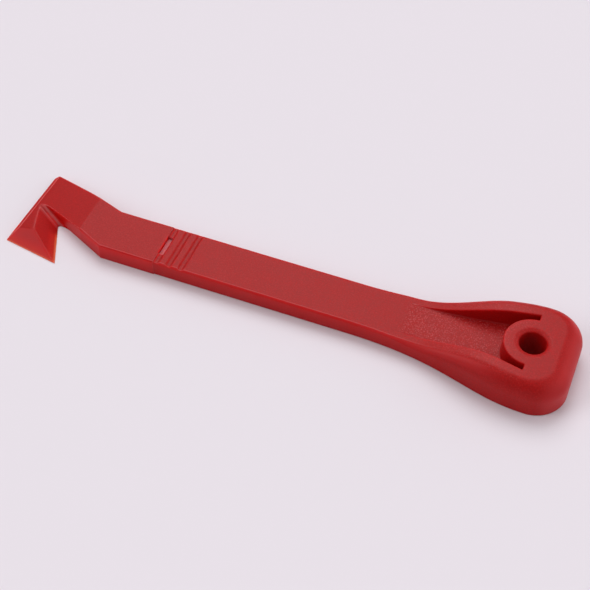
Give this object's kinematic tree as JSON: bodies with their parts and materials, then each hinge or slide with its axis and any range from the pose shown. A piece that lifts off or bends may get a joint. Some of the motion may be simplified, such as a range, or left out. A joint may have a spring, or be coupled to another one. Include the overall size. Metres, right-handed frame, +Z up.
{
  "type": "hive tool",
  "caption": "Flat moulded plastic hive tool: a hooked scraper head with a barbed edge, plugged into a flared handle with grip grooves, a pocket and a hang hole.",
  "frame": {"origin": "on the underside, on the tool's middle line, half way along its length", "axes": "+X along the tool from the hook to the hang hole, +Y across to the back of the hook, +Z up from the underside"},
  "size_m": [0.2254, 0.0437, 0.0147],
  "materials": {
    "handle_plastic": "fine moulded grain",
    "head_plastic": "smooth moulded"
  },
  "bodies": {
    "root": {"handle": "handle_plastic", "hook_head": "head_plastic"}
  },
  "joints": []
}
